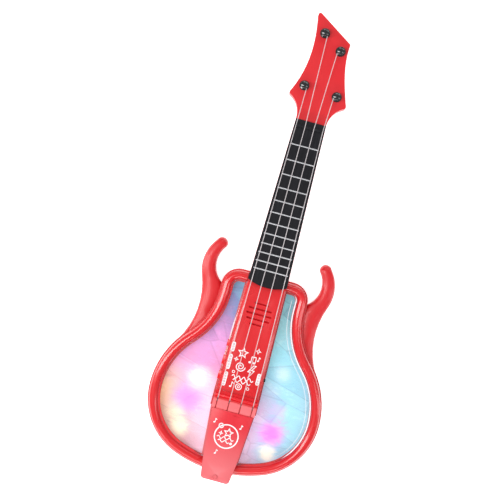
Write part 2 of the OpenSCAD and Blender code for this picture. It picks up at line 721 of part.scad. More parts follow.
module peg_knob(i) {
  color("#202226") translate(peg_points[i]) difference() {
    union() {
      translate([0, 0, knob_top_z - 4]) cylinder(r = 4.6, h = 4);
      translate([-2, 0, 0]) rotate([90, 0, 90]) linear_extrude(4) polygon([
        [-4, knob_top_z - 3], [-8.5, knob_top_z - 7], [-8.5, knob_top_z - 13], [-6.5, knob_top_z - 15],
        [6.5, knob_top_z - 15], [8.5, knob_top_z - 13], [8.5, knob_top_z - 7], [4, knob_top_z - 3]]);
    }
    translate([0, 0, neck_z - 9.1]) cylinder(r = shaft_r, h = 10);
  }
}
coil_r = shaft_r + string_r + slip;
module string_coil(i) {
  color("#d8d4d6") translate(peg_points[i]) for (k = [-1:1])
    translate([0, 0, coil_z + k * (2 * string_r - 0.02)]) rotate_extrude()
      translate([coil_r, 0]) circle(string_r, $fn = 16);
}

// Strings: from a bead in the bridge, over the ridge and the nut, down to the post
string_nut_z = board_top_z + 1.35;
string_ridge_z = ridge_z + string_r + slip;
end_gap = 3.1;
// A string runs mostly along Y, so its rings all stand in the plane of X and Z
string_n = 10;
function string_ring(p, r) = [for (k = [0:string_n - 1]) let (a = -360 * k / string_n)
  [p.x + r * cos(a), p.y, p.z + r * sin(a)]];
module string(i) {
  x0 = string_x(i, bridge_pitch);
  peg = peg_points[i];
  nut = [string_x(i, nut_pitch), nut_y, string_nut_z];
  far = [peg.x + peg_sides[i] * coil_r, peg.y, coil_z];
  back = nut - far;
  bead = [for (a = [-75:30:75]) string_ring(
    [x0, anchor_y + bead_r_string * sin(a), anchor_z], bead_r_string * cos(a))];
  color("#d8d4d6") skin(concat(bead, [
    string_ring([x0, anchor_y + bead_r_string, anchor_z], string_r),
    string_ring([x0, ridge_y - 1.2, string_ridge_z - 0.25], string_r),
    string_ring([x0, ridge_y, string_ridge_z], string_r),
    string_ring(nut, string_r),
    string_ring(far + back * end_gap / norm(back), string_r)]), string_n);
}

// Buttons: cap with a lip inside the bar, stem, and the switch plunger that moves with it
function flank_in(y) = bar_w(y) - bar_plate;
switch_face_x = -16;
plunger_r = 1.2;
stem_end_x = -17.8;
module button(i) {
  y = button_places[i][0];
  l = button_places[i][1];
  lip_x = -flank_in(y) + 0.45;
  color("#f5484e") {
    translate([-bar_w(y) - button_out, y - l / 2, button_z - button_h / 2])
      cube([bar_w(y) + button_out + lip_x + 0.1, l, button_h]);
    translate([lip_x, y - l / 2 - lip_over, button_z - button_h / 2 - lip_over])
      cube([lip_t, l + 2 * lip_over, button_h + 2 * lip_over]);
    translate([lip_x + lip_t, y, button_z]) rotate([0, 90, 0])
      cylinder(r = 1.6, h = stem_end_x - lip_x - lip_t);
  }
}
module button_plunger(i) {
  color("#303034") translate([stem_end_x + slip, button_places[i][0], button_z]) rotate([0, 90, 0])
    cylinder(r = plunger_r, h = press + 2);
}
module button_switches() {
  color("#3a3a40") for (b = button_places) difference() {
    translate([switch_face_x, b[0] - 3, circuit_z + board_t + slip]) cube([5, 6, 3.8]);
    translate([switch_face_x - 1, b[0], button_z]) rotate([0, 90, 0])
      cylinder(r = plunger_r + run_gap, h = press + 3);
  }
}
module switch_knob() {
  color("#1c1c20") {
    translate([12.6, switch_y - knob_size.x / 2, button_z - knob_size.y / 2])
      cube([bar_w(switch_y) + 2.1 - 12.6, knob_size.x, knob_size.y]);
    translate([11.2, switch_y - 2.4, button_z - 1.5]) cube([1.5, 4.8, 3]);
  }
}
module switch_body() {
  color("#b8bcc2") difference() {
    translate([9, switch_y - 6.2, circuit_z + board_t + slip]) cube([6.5, 12.4, 4.4]);
    translate([11, switch_y - 4.8, button_z - 1.7]) cube([2, 9.6, 3.4]);
    translate([12, switch_y - 4.1, button_z - knob_size.y / 2 - 0.2]) cube([5, 8.2, knob_size.y + 0.4]);
  }
}
module circuit_board() {
  color("#2f7a4a") difference() {
    translate([-17.4, 14, circuit_z]) cube([34.8, 59, board_t]);
    for (p = board_screw_points) translate([p.x, p.y, circuit_z - 1]) cylinder(r = 1, h = 4);
  }
}
module sound_chip() {
  color("#18181a") translate([-5, 44, circuit_z + board_t + slip]) cube([10, 8, 1.8]);
}
module board_screws() {
  color("#c8c8cc") for (p = board_screw_points) translate([p.x, p.y, circuit_z]) {
    translate([0, 0, -1.2]) cylinder(r = 1.7, h = 1.2 - slip);
    translate([0, 0, -slip]) cylinder(r = 0.8, h = 6);
  }
}

// Speaker, facing up under the grille
speaker_r = 17.4;
speaker_top_z = bar_z - bar_plate - 0.1;
module turned(points) translate([0, grille_y, 0]) rotate_extrude($fn = 96) polygon(points);
module speaker_frame() {
  color("#4a4a50") turned([
    [speaker_r, speaker_top_z], [speaker_r, speaker_top_z - 1.4], [14, speaker_top_z - 2.2],
    [9.5, speaker_top_z - 8.6], [4, speaker_top_z - 8.6], [4, speaker_top_z - 7.8],
    [9, speaker_top_z - 7.8], [13.4, speaker_top_z - 1.4], [15, speaker_top_z - 0.8],
    [15, speaker_top_z]]);
}
module speaker_magnet() {
  color("#8d8f94") translate([0, grille_y, speaker_top_z - 14.6 - slip]) cylinder(r = 8.5, h = 6);
}
module speaker_cone() {
  color("#26262a") turned([
    [0, speaker_top_z - 3.4], [3, speaker_top_z - 4], [4, speaker_top_z - 5.6],
    [12.4, speaker_top_z - 1.6], [13.6, speaker_top_z - 0.9], [14.9, speaker_top_z - 0.7],
    [14.9, speaker_top_z - 0.3], [13.4, speaker_top_z - 0.3], [12.2, speaker_top_z - 1],
    [4.2, speaker_top_z - 4.8], [3, speaker_top_z - 3.4], [0, speaker_top_z - 2.8]]);
}

// Lights under the reflector panels
module light_boards() {
  color("#2f7a4a") for (side = [-1, 1])
    translate([side * light_board_mid.x - light_board_half.x,
        light_board_mid.y - light_board_half.y, board_z])
      cube([2 * light_board_half.x, 2 * light_board_half.y, board_t]);
}
module lights() {
  color("#fff4d8") for (p = light_points) translate([p.x, p.y, board_z + board_t + slip]) {
    cylinder(r = 2.9, h = 1);
    cylinder(r = 2.5, h = 5);
    translate([0, 0, 5]) sphere(2.5);
  }
}

// Batteries: the middle cell lies the other way round
cell_start = 22.1;
module batteries() {
  color("#3c6e9c") for (i = [-1:1]) let (way = i == 0 ? 1 : -1)
    translate([i * cell_pitch, bay_y + way * cell_start, cell_z]) rotate([way * 90, 0, 0]) {
      cylinder(r = cell_r, h = cell_l);
      cylinder(r = 2.75, h = cell_l + 1.1);
    }
}
contact_t = 0.4;
// A contact plate that spans "cells" cells, from "start" cell pitches off the middle
module contact(start, cells, y) translate([start * cell_pitch + 1.2, y, cell_z - 5])
  cube([cells * cell_pitch - 2.4, contact_t, 10]);
module battery_contacts() {
  top_y = bay_y + bay_half.y - contact_t - slip;
  low_y = bay_y - bay_half.y + slip;
  color("#c9ccd2") {
    contact(-1.5, 2, top_y);
    contact(0.5, 1, top_y);
    contact(-1.5, 1, low_y);
    contact(-0.5, 2, low_y);
  }
}
spring_turns = 4;
spring_steps = 12;
spring_wire_r = 0.35;
function spring_ring(k, length) = let (
    a = 360 * k / spring_steps,
    r = lerp(4.2, 2.6, k / (spring_turns * spring_steps)),
    z = spring_wire_r + (length - 2 * spring_wire_r) * k / (spring_turns * spring_steps))
  [for (j = [0:5]) let (rr = r + spring_wire_r * cos(60 * j))
    [rr * cos(a), rr * sin(a), z - spring_wire_r * sin(60 * j)]];
module spring(length) skin([for (k = [0:spring_turns * spring_steps]) spring_ring(k, length)], 6);
module battery_springs() {
  plate_y = bay_half.y - contact_t - 0.06;
  color("#c9ccd2") for (i = [-1:1]) let (way = i == 0 ? 1 : -1)
    translate([i * cell_pitch, bay_y + way * plate_y, cell_z]) rotate([way * 90, 0, 0])
      spring(plate_y - cell_start - 0.04);
}
module battery_door() {
  edge = bay_half - [door_gap, door_gap] * 0.5;
  color("#d32c32") difference() {
    union() {
      bay_box(edge, door_z, wall_t);
      translate([-5.6, bay_y + bay_half.y - 1, door_z]) cube([11.2, 9.2, wall_t - door_z]);
    }
    translate([0, door_screw_y, -1]) cylinder(r = free_r, h = 5);
    translate([0, door_screw_y, door_z - 1]) cylinder(r = recess_r - 0.2, h = 2.1);
    for (k = [-3:3]) translate([-12, bay_y - 14 + k * 2.4, door_z - 0.1]) cube([24, 1, 0.7]);
  }
}
module door_screw() {
  color("#c8c8cc") translate([0, door_screw_y, 0]) {
    translate([0, 0, door_z + 0.1]) cylinder(r = head_r - 0.1, h = 1 - slip);
    translate([0, 0, door_z + 1]) cylinder(r = shank_r, h = 6.5);
  }
}

module case_screws() {
  color("#c8c8cc") {
    at_case_screws() screw(seat_z - slip, seam_z + 8);
    for (p = bar_screw_points) translate(p) screw(seat_z - slip, post_top + 10);
  }
}
module neck_screws() {
  color("#c8c8cc") {
    for (p = neck_screw_points) translate(p) screw(neck_seat_z - slip, neck_z + 9);
    for (p = head_screw_points) translate([p.x, p.y, neck_z - 0.4]) {
      cylinder(r = head_r, h = 1.6 - slip);
      cylinder(r = shank_r, h = 7.6);
    }
  }
}
module tail_screw() {
  seat = tail_end_z - 1.2 + slip;
  color("#f0484d") translate([0, tail_screw_y, 0]) {
    translate([0, 0, seat]) cylinder(r = 2.3, h = 1.6);
    translate([0, 0, seat + 1.6]) cylinder(r1 = 2.3, r2 = 1.5, h = 0.6);
    translate([0, 0, tab_z + 2]) cylinder(r = shank_r, h = seat - tab_z - 2);
  }
}

// Wires: each is swept along straight runs, its rings square to the bisector at every corner
wire_r = 0.6;
wire_n = 8;
function wire_ring(at, ahead, side) = let (
    u = unit(cross(ahead, side)),
    v = cross(ahead, u))
  [for (k = [0:wire_n - 1]) let (a = 360 * k / wire_n) at + wire_r * (u * cos(a) + v * sin(a))];
module wire(points, side) {
  runs = [for (i = [0:len(points) - 2]) unit(points[i + 1] - points[i])];
  last = len(points) - 1;
  skin([for (i = [0:last])
    wire_ring(points[i], unit(runs[max(i - 1, 0)] + runs[min(i, last - 1)]), side)], wire_n);
}
module wires() {
  bay_end_y = bay_y + bay_half.y;
  under_board_z = circuit_z - wire_r - 0.1;
  color("#b02020") for (x = [-8, 8]) wire([
    [x, bay_end_y + 0.7, 13], [x, bay_end_y + 7, 15], [x, bay_end_y + 7, 30],
    [x, bay_end_y + 3, under_board_z]], [1, 0, 0]);
  color("#2a2a2c") for (x = [-3, 3])
    wire([[x, 71, circuit_z + board_t + 0.7], [x, 78, 36.4], [x, 87, 34.4]], [1, 0, 0]);
  color("#2a2a2c") for (side = [-1, 1]) wire([
    [side * 42, -8, board_z + board_t + 0.7], [side * 30, -8, 12], [side * 6, -6, 14],
    [side * 6, -4, 26], [side * 6, 8, 31], [side * 6, 17, under_board_z]], [0, 1, -1]);
}

back_shell();
front_rim();
horn_left();
horn_right();
window_left();
window_right();
reflector_left();
reflector_right();
middle_bar();
bridge();
tailpiece();
tail_screw();
neck_back();
fretboard();
nut();
frets();
headstock_front();
headstock_back();
collars();
peg_post(0);  // peg_post_1
peg_post(1);  // peg_post_2
peg_post(2);  // peg_post_3
peg_post(3);  // peg_post_4
peg_knob(0);  // peg_knob_1
peg_knob(1);  // peg_knob_2
peg_knob(2);  // peg_knob_3
peg_knob(3);  // peg_knob_4
string_coil(0);  // string_coil_1
string_coil(1);  // string_coil_2
string_coil(2);  // string_coil_3
string_coil(3);  // string_coil_4
string(0);  // string_1
string(1);  // string_2
string(2);  // string_3
string(3);  // string_4
button(0);  // button_1
button(1);  // button_2
button(2);  // button_3
button_plunger(0);  // button_plunger_1
button_plunger(1);  // button_plunger_2
button_plunger(2);  // button_plunger_3
button_switches();
switch_knob();
switch_body();
circuit_board();
sound_chip();
board_screws();
speaker_frame();
speaker_magnet();
speaker_cone();
light_boards();
lights();
batteries();
battery_contacts();
battery_springs();
battery_door();
door_screw();
case_screws();
neck_screws();
wires();
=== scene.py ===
"""Looks for the toy guitar: materials, printed motifs, floor, lights and camera."""

import math

import bmesh
import bpy
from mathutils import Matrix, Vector
from mathutils.bvhtree import BVHTree


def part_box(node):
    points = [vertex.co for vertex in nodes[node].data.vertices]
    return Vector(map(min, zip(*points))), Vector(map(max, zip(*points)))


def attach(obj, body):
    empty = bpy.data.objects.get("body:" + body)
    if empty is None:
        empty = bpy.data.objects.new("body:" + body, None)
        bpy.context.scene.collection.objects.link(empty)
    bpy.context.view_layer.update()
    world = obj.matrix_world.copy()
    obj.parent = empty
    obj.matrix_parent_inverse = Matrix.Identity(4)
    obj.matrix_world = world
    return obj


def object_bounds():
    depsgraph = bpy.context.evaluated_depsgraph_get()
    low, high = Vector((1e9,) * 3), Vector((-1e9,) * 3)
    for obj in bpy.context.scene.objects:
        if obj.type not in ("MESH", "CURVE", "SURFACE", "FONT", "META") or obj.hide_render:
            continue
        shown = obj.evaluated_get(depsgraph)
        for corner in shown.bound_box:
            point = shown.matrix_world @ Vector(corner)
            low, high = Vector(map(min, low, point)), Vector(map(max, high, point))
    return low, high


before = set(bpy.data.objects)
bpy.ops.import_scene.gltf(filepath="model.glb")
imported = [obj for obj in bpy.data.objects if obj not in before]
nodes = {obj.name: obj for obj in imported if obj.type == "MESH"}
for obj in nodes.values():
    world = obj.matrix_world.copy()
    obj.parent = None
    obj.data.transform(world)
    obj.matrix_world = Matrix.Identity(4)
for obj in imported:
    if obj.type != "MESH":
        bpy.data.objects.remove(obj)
cad_low, cad_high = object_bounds()
scene = bpy.context.scene
MM = 0.001             # metres in a millimetre
JOIN_GAP = 0.000004    # metres: corners closer than this are one corner
SHARP_TURN = math.radians(34)     # edges that turn more than this stay sharp
BEVEL_TURN = math.radians(28)     # edges that turn more than this are rounded


# ---------------------------------------------------------------- node helpers
def linear(r, g, b):
    """An sRGB colour, 0 to 255, as the linear colour that shaders take."""
    return tuple(
        c / 12.92 if c <= 0.04045 else ((c + 0.055) / 1.055) ** 2.4
        for c in (r / 255, g / 255, b / 255)
    ) + (1.0,)


def add(tree, kind, settings=(), inputs=()):
    """A shader node with its settings and its inputs; an input is a value or a socket."""
    node = tree.nodes.new(kind)
    for key, value in dict(settings).items():
        setattr(node, key, value)
    for key, value in dict(inputs).items():
        if isinstance(value, bpy.types.NodeSocket):
            tree.links.new(value, node.inputs[key])
        else:
            node.inputs[key].default_value = value
    return node


def new_material(name):
    """An empty material with one Principled shader on its output."""
    material = bpy.data.materials.new(name)
    material.use_nodes = True
    tree = material.node_tree
    tree.nodes.clear()
    shader = add(tree, "ShaderNodeBsdfPrincipled")
    add(tree, "ShaderNodeOutputMaterial", inputs={"Surface": shader.outputs["BSDF"]})
    return material, tree, shader


def object_coords(tree, stretch=(1, 1, 1)):
    """Places in the object's own metres, stretched along the axes."""
    coords = add(tree, "ShaderNodeTexCoord")
    return add(tree, "ShaderNodeMapping",
               inputs={"Vector": coords.outputs["Object"], "Scale": stretch}).outputs["Vector"]


def noise(tree, vector, scale, detail=3.0, rough=0.5, distortion=0.0):
    """Soft noise, about 0.3 to 0.7."""
    return add(tree, "ShaderNodeTexNoise", inputs={
        "Vector": vector, "Scale": scale, "Detail": detail,
        "Roughness": rough, "Distortion": distortion}).outputs["Fac"]


def spread(tree, value, low, high, start=0.3, end=0.7):
    """Maps a value from start..end to low..high."""
    return add(tree, "ShaderNodeMapRange", inputs={
        "Value": value, "From Min": start, "From Max": end,
        "To Min": low, "To Max": high}).outputs["Result"]


def feed(tree, sockets, values):
    """Gives each socket its value, or a link where the value is a socket."""
    for socket, value in zip(sockets, values):
        if isinstance(value, bpy.types.NodeSocket):
            tree.links.new(value, socket)
        else:
            socket.default_value = value


def math_node(tree, what, a, b=0.0):
    """One step of arithmetic on values or sockets."""
    node = add(tree, "ShaderNodeMath", {"operation": what})
    feed(tree, node.inputs, (a, b))
    return node.outputs["Value"]


def swing(tree, value, reach):
    """Noise turned into a shift either way, "reach" from end to end."""
    return math_node(tree, "MULTIPLY", math_node(tree, "SUBTRACT", value, 0.5), reach)


def vector_of(tree, **parts):
    """A vector from X, Y and Z values or sockets."""
    return add(tree, "ShaderNodeCombineXYZ", inputs=parts).outputs["Vector"]


def ramp(tree, value, stops):
    """A colour ramp through stops, each a place and a colour."""
    node = add(tree, "ShaderNodeValToRGB", inputs={"Fac": value})
    elements = node.color_ramp.elements
    while len(elements) > 1:
        elements.remove(elements[-1])
    elements[0].position, elements[0].color = stops[0]
    for place, colour in stops[1:]:
        elements.new(place).color = colour
    return node.outputs["Color"]


def mix(tree, factor, a, b, how="MIX"):
    """Colour a turned into colour b by the factor."""
    node = add(tree, "ShaderNodeMix", {"data_type": "RGBA", "blend_type": how,
                                       "clamp_factor": True})
    feed(tree, (node.inputs[0], node.inputs[6], node.inputs[7]), (factor, a, b))
    return node.outputs[2]


def bump(tree, shader, height, distance):
    """Relief on a shader, "distance" metres deep where the height is 1."""
    made = add(tree, "ShaderNodeBump", inputs={
        "Height": height, "Distance": distance, "Strength": 1.0})
    tree.links.new(made.outputs["Normal"], shader.inputs["Normal"])


SKIN_SCALE = 1300.0    # grains of skin texture to a metre


def plastic(name, dark, light, rough=(0.24, 0.32), broad=9.0, relief=0.000012, coat=0.0,
            metallic=0.0, stretch=(1, 1, 1), painted_sheen=None):
    """Moulded plastic, or metal: slow colour drift, fine skin texture and uneven gloss.

    The last argument, when given, is a colour and the Y in mm where the change to it starts and
    ends: a painted highlight that pales the part along Y.
    """
    material, tree, shader = new_material(name)
    vector = object_coords(tree, stretch)
    drift = noise(tree, vector, broad)
    skin = noise(tree, vector, SKIN_SCALE, 2.0)
    colour = ramp(tree, drift, [(0.3, dark), (0.7, light)])
    # Painted highlight: the colour pales toward the given colour along Y
    if painted_sheen:
        split = add(tree, "ShaderNodeSeparateXYZ", inputs={"Vector": object_coords(tree)})
        share = spread(tree, split.outputs["Y"], 0.0, 1.0, painted_sheen[1] * MM, painted_sheen[2] * MM)
        colour = mix(tree, share, colour, painted_sheen[0])
    tree.links.new(colour, shader.inputs["Base Color"])
    smear = noise(tree, vector, broad * 3, 2.0)
    tree.links.new(spread(tree, smear, *rough), shader.inputs["Roughness"])
    bump(tree, shader, skin, relief)
    shader.inputs["Metallic"].default_value = metallic
    shader.inputs["Coat Weight"].default_value = coat
    shader.inputs["Coat Roughness"].default_value = 0.08
    return material


# ---------------------------------------------------------------- materials
RED = plastic("red_plastic", linear(204, 11, 22), linear(212, 15, 26), coat=0.6)
RED_SOFT = plastic("red_headstock", linear(210, 30, 38), linear(218, 37, 45), (0.3, 0.42))
RED_HORN = plastic("red_horn", linear(200, 14, 24), linear(208, 20, 30), (0.34, 0.42), coat=0.12)
# The tail: a pinker red than the body's, paler toward its end; the paling is a painted reflection
# of the light on its sloping top
RED_TRIM = plastic("red_tail", linear(210, 37, 50), linear(216, 46, 58), (0.3, 0.4),
                   painted_sheen=(linear(218, 96, 102), -20, -60))
# The bridge's comb: red that turns pale toward the tail side, a painted highlight on the combs'
# sloping tops
RED_COMB = plastic("red_comb", linear(216, 16, 28), linear(222, 22, 34), (0.25, 0.35),
                   painted_sheen=(linear(236, 108, 112), 4.5, 2.5))
RED_BUTTON = plastic("red_button", linear(214, 16, 22), linear(232, 26, 34), (0.2, 0.3))
BLACK = plastic("black_plastic", linear(12, 14, 17), linear(22, 24, 28), (0.1, 0.2), coat=1.0)
BLACK_MATTE = plastic("black_matte", linear(22, 22, 25), linear(34, 34, 38), (0.45, 0.6))
STEEL = plastic("plated_steel", linear(176, 178, 184), linear(206, 208, 212), (0.18, 0.34),
                metallic=1.0, relief=0.000008)
SILVER = plastic("painted_silver", linear(186, 186, 190), linear(206, 206, 210), (0.25, 0.4),
                 metallic=0.35)
CORD = plastic("string_clear", linear(214, 206, 208), linear(236, 228, 230), (0.15, 0.25),
               broad=400.0)
CORD.node_tree.nodes["Principled BSDF"].inputs["Alpha"].default_value = 0.5
BOARD = plastic("board_green", linear(28, 92, 52), linear(40, 122, 70), (0.35, 0.5), broad=90.0)
CELL = plastic("cell_sleeve", linear(44, 92, 138), linear(62, 118, 166), (0.2, 0.35),
               broad=60.0, stretch=(4, 0.6, 4))
PAPER = plastic("speaker_paper", linear(26, 26, 30), linear(48, 48, 54), (0.7, 0.9),
                broad=160.0, relief=0.00008)
MAGNET = plastic("magnet_grey", linear(112, 114, 120), linear(150, 152, 158), (0.4, 0.6),
                 metallic=0.6)
LAMP = plastic("lamp_lens", linear(236, 232, 222), linear(250, 248, 240), (0.1, 0.2))
WIRE = plastic("wire_sleeve", linear(30, 30, 34), linear(60, 30, 34), (0.3, 0.45), broad=60.0)
PRINT = plastic("white_print", linear(232, 226, 228), linear(250, 246, 248), (0.4, 0.55),
                broad=120.0)
PRINT_GREY = plastic("grey_print", linear(176, 110, 118), linear(196, 128, 136), (0.4, 0.55),
                     broad=120.0)
# Maroon: the grille's dust screen, and the painted shade bands inside the rim
MAROON = plastic("maroon_screen_and_painted_shade", linear(196, 24, 32), linear(216, 34, 42), (0.6, 0.8),
                 broad=300.0, relief=0.00006)
# Painted reflections: pale strips standing in for light caught on the windows' edges
PAINTED_GLINT = plastic("painted_glint", linear(238, 236, 246), linear(252, 248, 252), (0.15, 0.25),
                    broad=60.0)


def fretboard_material():
    """Black moulded board with a drawn wood grain along its length."""
    material, tree, shader = new_material("fretboard_grain")
    vector = object_coords(tree, (1.0, 0.06, 1.0))
    grain = noise(tree, vector, 900.0, 5.0, 0.65, 0.4)
    pores = noise(tree, object_coords(tree, (1.0, 0.2, 1.0)), 1500.0, 2.0)
    drift = noise(tree, object_coords(tree), 16.0)
    streaks = math_node(tree, "ADD", math_node(tree, "MULTIPLY", grain, 0.75),
                        math_node(tree, "MULTIPLY", drift, 0.25))
    colour = ramp(tree, streaks, [(0.32, linear(9, 9, 13)), (0.52, linear(19, 19, 24)),
                                  (0.7, linear(34, 34, 39))])
    tree.links.new(colour, shader.inputs["Base Color"])
    tree.links.new(spread(tree, grain, 0.42, 0.62), shader.inputs["Roughness"])
    shader.inputs["Specular IOR Level"].default_value = 0.2
    bump(tree, shader, math_node(tree, "ADD", grain, math_node(tree, "MULTIPLY", pores, 0.4)),
         0.00006)
    return material


def clear_material():
    """Clear cover: see-through face on, glossier and whiter at a slant."""
    material, tree, shader = new_material("clear_cover")
    slant = add(tree, "ShaderNodeLayerWeight", inputs={"Blend": 0.35}).outputs["Facing"]
    vector = object_coords(tree)
    haze = noise(tree, vector, 26.0, 3.0)
    tree.links.new(ramp(tree, haze, [(0.35, linear(240, 244, 250)), (0.65, linear(255, 255, 255))]),
                   shader.inputs["Base Color"])
    tree.links.new(spread(tree, slant, 0.03, 0.6, 0.0, 0.9), shader.inputs["Alpha"])
    tree.links.new(spread(tree, noise(tree, vector, 90.0), 0.02, 0.07), shader.inputs["Roughness"])
    return material


# The film's colours up the body, from its bottom to its top; the tints that the lower part takes
# near the bar and at the outside; and the painted glows of the lamps behind it, each with its place
# and reach in mm, its colour and its strength
FILM = {
    "reflector_left": {
        "stops": [(0.0, linear(196, 150, 156)), (0.14, linear(222, 176, 180)),
                  (0.3, linear(244, 184, 204)), (0.5, linear(234, 156, 208)),
                  (0.64, linear(222, 158, 220)), (0.76, linear(184, 140, 202)),
                  (0.88, linear(124, 148, 206)), (1.0, linear(110, 180, 214))],
        "inner": linear(246, 216, 238), "outer": linear(226, 186, 112),
        "lamps": [((-50, -9), 27, linear(255, 128, 232), 0.75),
                  ((-44, 15), 21, linear(255, 250, 240), 0.85),
                  ((-60, -28), 18, linear(252, 244, 206), 0.7),
                  ((-52, -43), 18, linear(255, 255, 222), 1.0)],
    },
    "reflector_right": {
        "stops": [(0.0, linear(176, 176, 212)), (0.14, linear(154, 200, 224)),
                  (0.34, linear(148, 210, 230)), (0.56, linear(156, 222, 238)),
                  (0.7, linear(152, 222, 236)), (0.84, linear(138, 212, 222)),
                  (1.0, linear(118, 200, 222))],
        "inner": linear(234, 206, 240), "outer": linear(146, 208, 226),
        "lamps": [((42, 42), 15, linear(222, 246, 250), 0.6),
                  ((48, 2), 16, linear(234, 190, 242), 0.5),
                  ((47, -23), 23, linear(255, 112, 248), 0.9),
                  ((47, -45), 15, linear(255, 255, 232), 1.0)],
    },
}


FACET_SCALE = 34.0                # facets to a metre
EDGE_TINTS = (("inner", 46 * MM, 26 * MM), ("outer", 54 * MM, 80 * MM))


def facets(tree, colour, y):
    """Flat facets of the crumpled foil, some darker and some lighter, with fine dark creases:
    painted shade and painted sheen on the facets, painted shade in the creases.
    """
    bent = add(tree, "ShaderNodeVectorMath", {"operation": "ADD"})
    feed(tree, bent.inputs, (object_coords(tree, (0.55, 1.0, 1.0)),
                             vector_of(tree, X=math_node(tree, "MULTIPLY", y, 0.5))))
    where = {"Vector": bent.outputs["Vector"], "Scale": FACET_SCALE}
    cell = add(tree, "ShaderNodeTexVoronoi", inputs=where)
    facet = add(tree, "ShaderNodeSeparateColor", inputs={"Color": cell.outputs["Color"]})
    # Painted shade on some facets
    colour = mix(tree, spread(tree, facet.outputs["Red"], 0.0, 0.2, 0.2, 0.9), colour,
                 linear(150, 118, 150), "MULTIPLY")
    # Painted sheen on others
    colour = mix(tree, spread(tree, facet.outputs["Green"], 0.0, 0.3, 0.4, 1.0), colour,
                 linear(255, 255, 250), "SOFT_LIGHT")
    # Painted shade along the creases
    edge = add(tree, "ShaderNodeTexVoronoi", {"feature": "DISTANCE_TO_EDGE"}, where)
    return mix(tree, spread(tree, edge.outputs["Distance"], 0.2, 0.0, 0.0, 0.03), colour,
               linear(120, 100, 130), "MULTIPLY")


def lamp_glow(tree, colour, place, folds, lamp):
    """The painted ragged round glow of one lamp through the foil; place holds the X and Y sockets.
    """
    (x, y), reach, tint, power = lamp
    away = add(tree, "ShaderNodeVectorMath", {"operation": "DISTANCE"})
    feed(tree, away.inputs, (vector_of(tree, X=place["X"], Y=place["Y"]),
                             (x * MM, y * MM, 0.0)))
    ragged = math_node(tree, "ADD", away.outputs["Value"], swing(tree, folds, 0.014))
    fade = add(tree, "ShaderNodeMapRange", {"interpolation_type": "SMOOTHERSTEP"}, {
        "Value": ragged, "From Min": 0.0, "From Max": reach * MM,
        "To Min": power, "To Max": 0.0})
    return mix(tree, fade.outputs["Result"], colour, tint)


def film_material(name, look):
    """Rainbow foil: colour drifts up the body in warped bands, with painted glows of the lamps
    behind it, and the whole foil glows faintly as painted light.
    """
    low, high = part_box(name)
    material, tree, shader = new_material("film_" + name)
    coords = object_coords(tree)
    place = add(tree, "ShaderNodeSeparateXYZ", inputs={"Vector": coords}).outputs
    height = spread(tree, place["Y"], 0.0, 1.0, low.y, high.y)
    warp = noise(tree, coords, 17.0, 3.0, 0.5, 0.6)
    folds = noise(tree, object_coords(tree, (1.0, 2.4, 1.0)), 60.0, 4.0, 0.6, 1.2)
    band = math_node(tree, "ADD", height, swing(tree, warp, 0.55))
    band = math_node(tree, "ADD", band, swing(tree, folds, 0.16))
    colour = ramp(tree, band, look["stops"])
    aside = math_node(tree, "ABSOLUTE", place["X"])
    aside = math_node(tree, "ADD", aside, swing(tree, warp, 0.03))
    lower = spread(tree, place["Y"], 0.0, 1.0, 34 * MM, -2 * MM)
    for tint, start, end in EDGE_TINTS:
        share = spread(tree, aside, 0.0, 0.9, start, end)
        colour = mix(tree, math_node(tree, "MULTIPLY", lower, share), colour, look[tint])
    colour = facets(tree, colour, place["Y"])
    # Painted highlight along the foil's folds
    fold_highlight = spread(tree, folds, 0.0, 0.4, 0.55, 0.75)
    colour = mix(tree, fold_highlight, colour, linear(255, 250, 255), "SOFT_LIGHT")
    # Painted light: the lamps' glows laid into the foil's colour
    for lamp in look["lamps"]:
        colour = lamp_glow(tree, colour, place, folds, lamp)
    tree.links.new(colour, shader.inputs["Base Color"])
    # Painted light: the foil, with its painted glows, shade and highlights, glows faintly though it
    # is no lamp
    tree.links.new(colour, shader.inputs["Emission Color"])
    shader.inputs["Emission Strength"].default_value = 0.34
    tree.links.new(spread(tree, folds, 0.24, 0.42), shader.inputs["Roughness"])
    bump(tree, shader, math_node(tree, "ADD", folds, warp), 0.0006)
    return material


CLEAR = clear_material()
GRAIN = fretboard_material()
MATERIALS = {
    "back_shell": RED, "front_rim": RED, "horn_left": RED_HORN, "horn_right": RED_HORN,
    "window_left": CLEAR, "window_right": CLEAR,
    "middle_bar": RED, "bridge": RED_COMB, "tailpiece": RED_TRIM, "tail_screw": RED_TRIM,
    "neck_back": RED, "fretboard": GRAIN, "nut": GRAIN, "frets": SILVER,
    "headstock_front": RED_SOFT, "headstock_back": RED_SOFT, "collars": BLACK,
    "button_switches": BLACK_MATTE, "switch_knob": BLACK, "switch_body": STEEL,
    "circuit_board": BOARD, "sound_chip": BLACK_MATTE, "board_screws": STEEL,
    "speaker_frame": BLACK_MATTE, "speaker_magnet": MAGNET, "speaker_cone": PAPER,
    "light_boards": BOARD, "lights": LAMP, "batteries": CELL, "battery_contacts": STEEL,
    "battery_springs": STEEL, "battery_door": RED, "door_screw": STEEL,
    "case_screws": STEEL, "neck_screws": STEEL, "wires": WIRE,
}
for film in FILM:
    MATERIALS[film] = film_material(film, FILM[film])
for i in range(1, 5):
    MATERIALS[f"peg_post_{i}"] = MATERIALS[f"peg_knob_{i}"] = BLACK
    MATERIALS[f"string_coil_{i}"] = MATERIALS[f"string_{i}"] = CORD
for i in range(1, 4):
    MATERIALS[f"button_{i}"] = RED_BUTTON
    MATERIALS[f"button_plunger_{i}"] = BLACK_MATTE


